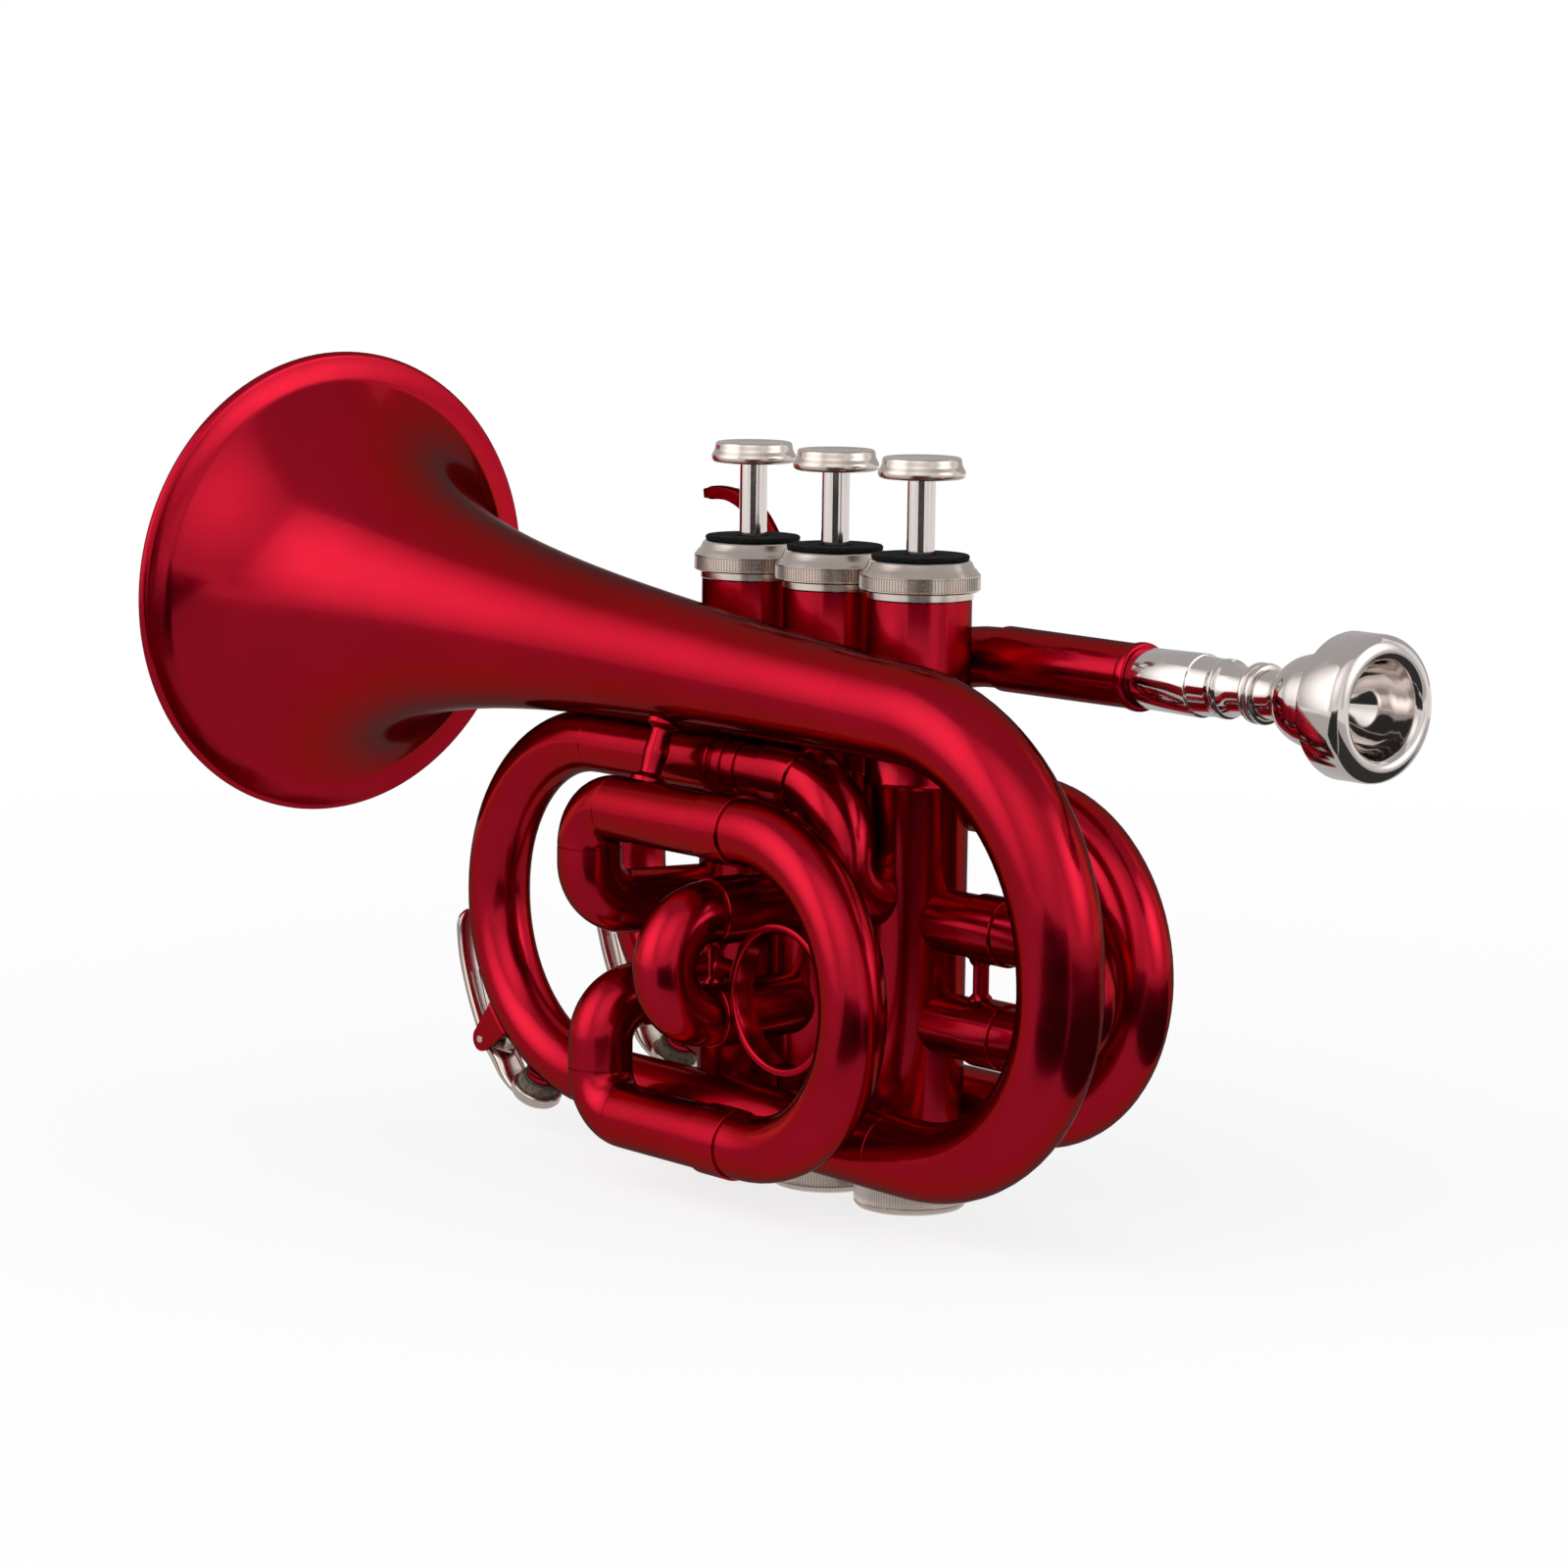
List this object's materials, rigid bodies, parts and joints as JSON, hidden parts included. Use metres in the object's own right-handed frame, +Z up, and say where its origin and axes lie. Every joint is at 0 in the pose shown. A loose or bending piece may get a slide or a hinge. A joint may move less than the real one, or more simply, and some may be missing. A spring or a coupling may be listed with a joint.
{
  "type": "pocket trumpet",
  "caption": "Compact trumpet with its tubing wound in two small loops beside three piston valves, a full-size bell, pull slides, water keys and a mouthpiece.",
  "frame": {"origin": "centre of the underside of the first valve's bottom cap", "axes": "+X towards the bell mouth, +Y to the player's left, +Z up along the valves"},
  "size_m": [0.26, 0.0994, 0.1536],
  "materials": {
    "red_lacquer": "glossy candy red lacquer over polished brass",
    "nickel_silver": "polished warm grey nickel silver",
    "chrome_plate": "mirror-bright plated rod",
    "bare_brass": "lapped and oiled",
    "spring_steel": "drawn wire",
    "black_felt": "dense felt",
    "natural_cork": "dark worn cork"
  },
  "bodies": {
    "trumpet_body": {"valve_casing_1": "red_lacquer", "bottom_cap_1": "nickel_silver", "top_cap_1": "nickel_silver", "cap_felt_1": "black_felt", "valve_spring_1": "spring_steel", "valve_casing_2": "red_lacquer", "bottom_cap_2": "nickel_silver", "top_cap_2": "nickel_silver", "cap_felt_2": "black_felt", "valve_spring_2": "spring_steel", "valve_casing_3": "red_lacquer", "bottom_cap_3": "nickel_silver", "top_cap_3": "nickel_silver", "cap_felt_3": "black_felt", "valve_spring_3": "spring_steel", "port_tube_1_2": "red_lacquer", "port_tube_2_3": "red_lacquer", "bell": "red_lacquer", "bell_bow": "red_lacquer", "near_bottom_run": "red_lacquer", "near_top_run": "red_lacquer", "valve_1_branch": "red_lacquer", "near_front_bow": "red_lacquer", "mouthpiece_receiver": "red_lacquer", "leadpipe": "red_lacquer", "far_bottom_run": "red_lacquer", "far_rear_bow": "red_lacquer", "valve_3_branch": "red_lacquer", "first_slide_tubes": "red_lacquer", "second_slide_tubes": "red_lacquer", "third_slide_upper_tube": "red_lacquer", "third_slide_lower_tube": "red_lacquer", "third_finger_ring": "red_lacquer", "little_finger_hook": "red_lacquer", "bell_brace": "red_lacquer", "near_water_key_saddle": "red_lacquer"},
    "valve_1": {"piston_1": "bare_brass", "valve_stem_1": "chrome_plate", "finger_button_1": "nickel_silver"},
    "valve_2": {"piston_2": "bare_brass", "valve_stem_2": "chrome_plate", "finger_button_2": "nickel_silver"},
    "valve_3": {"piston_3": "bare_brass", "valve_stem_3": "chrome_plate", "finger_button_3": "nickel_silver"},
    "first_slide": {"first_valve_slide": "red_lacquer"},
    "second_slide": {"second_valve_slide": "red_lacquer"},
    "third_slide": {"third_valve_slide": "red_lacquer"},
    "main_slide": {"main_tuning_slide": "red_lacquer", "far_water_key_saddle": "red_lacquer"},
    "mouthpiece": {"mouthpiece": "nickel_silver"},
    "near_water_key": {"near_water_key_lever": "nickel_silver", "near_water_key_cork": "natural_cork", "near_water_key_spring": "spring_steel"},
    "far_water_key": {"far_water_key_lever": "nickel_silver", "far_water_key_cork": "natural_cork", "far_water_key_spring": "spring_steel"}
  },
  "joints": [
    {"name": "valve_1_press", "type": "slide", "parent": "trumpet_body", "child": "valve_1", "axis": [0, 0, -1], "range_m": [0, 0.0135], "stiffness_N_per_m": 150, "springref_m": -0.02, "deforming": ["valve_spring_1"]},
    {"name": "valve_2_press", "type": "slide", "parent": "trumpet_body", "child": "valve_2", "axis": [0, 0, -1], "range_m": [0, 0.0135], "stiffness_N_per_m": 150, "springref_m": -0.02, "deforming": ["valve_spring_2"]},
    {"name": "valve_3_press", "type": "slide", "parent": "trumpet_body", "child": "valve_3", "axis": [0, 0, -1], "range_m": [0, 0.0135], "stiffness_N_per_m": 150, "springref_m": -0.02, "deforming": ["valve_spring_3"]},
    {"name": "first_slide_pull", "type": "slide", "parent": "trumpet_body", "child": "first_slide", "axis": [-1, 0, 0], "range_m": [0, 0.01]},
    {"name": "second_slide_pull", "type": "slide", "parent": "trumpet_body", "child": "second_slide", "axis": [0, 1, 0], "range_m": [0, 0.01]},
    {"name": "third_slide_pull", "type": "slide", "parent": "trumpet_body", "child": "third_slide", "axis": [-1, 0, 0], "range_m": [0, 0.02]},
    {"name": "main_slide_pull", "type": "slide", "parent": "trumpet_body", "child": "main_slide", "axis": [1, 0, 0], "range_m": [0, 0.014]},
    {"name": "mouthpiece_pull", "type": "slide", "parent": "trumpet_body", "child": "mouthpiece", "axis": [-1, 0, 0], "range_m": [0, 0.02]},
    {"name": "near_water_key_open", "type": "hinge", "parent": "trumpet_body", "child": "near_water_key", "pos_m": [0.10596, 0.0165, 0.01759], "axis": [0, -1, 0], "range_deg": [0, 6], "stiffness_Nm_per_rad": 0.15, "springref_deg": -17.19},
    {"name": "far_water_key_open", "type": "hinge", "parent": "main_slide", "child": "far_water_key", "pos_m": [0.10278, -0.0163, 0.02159], "axis": [0, -1, 0], "range_deg": [0, 6], "stiffness_Nm_per_rad": 0.15, "springref_deg": -17.19}
  ]
}
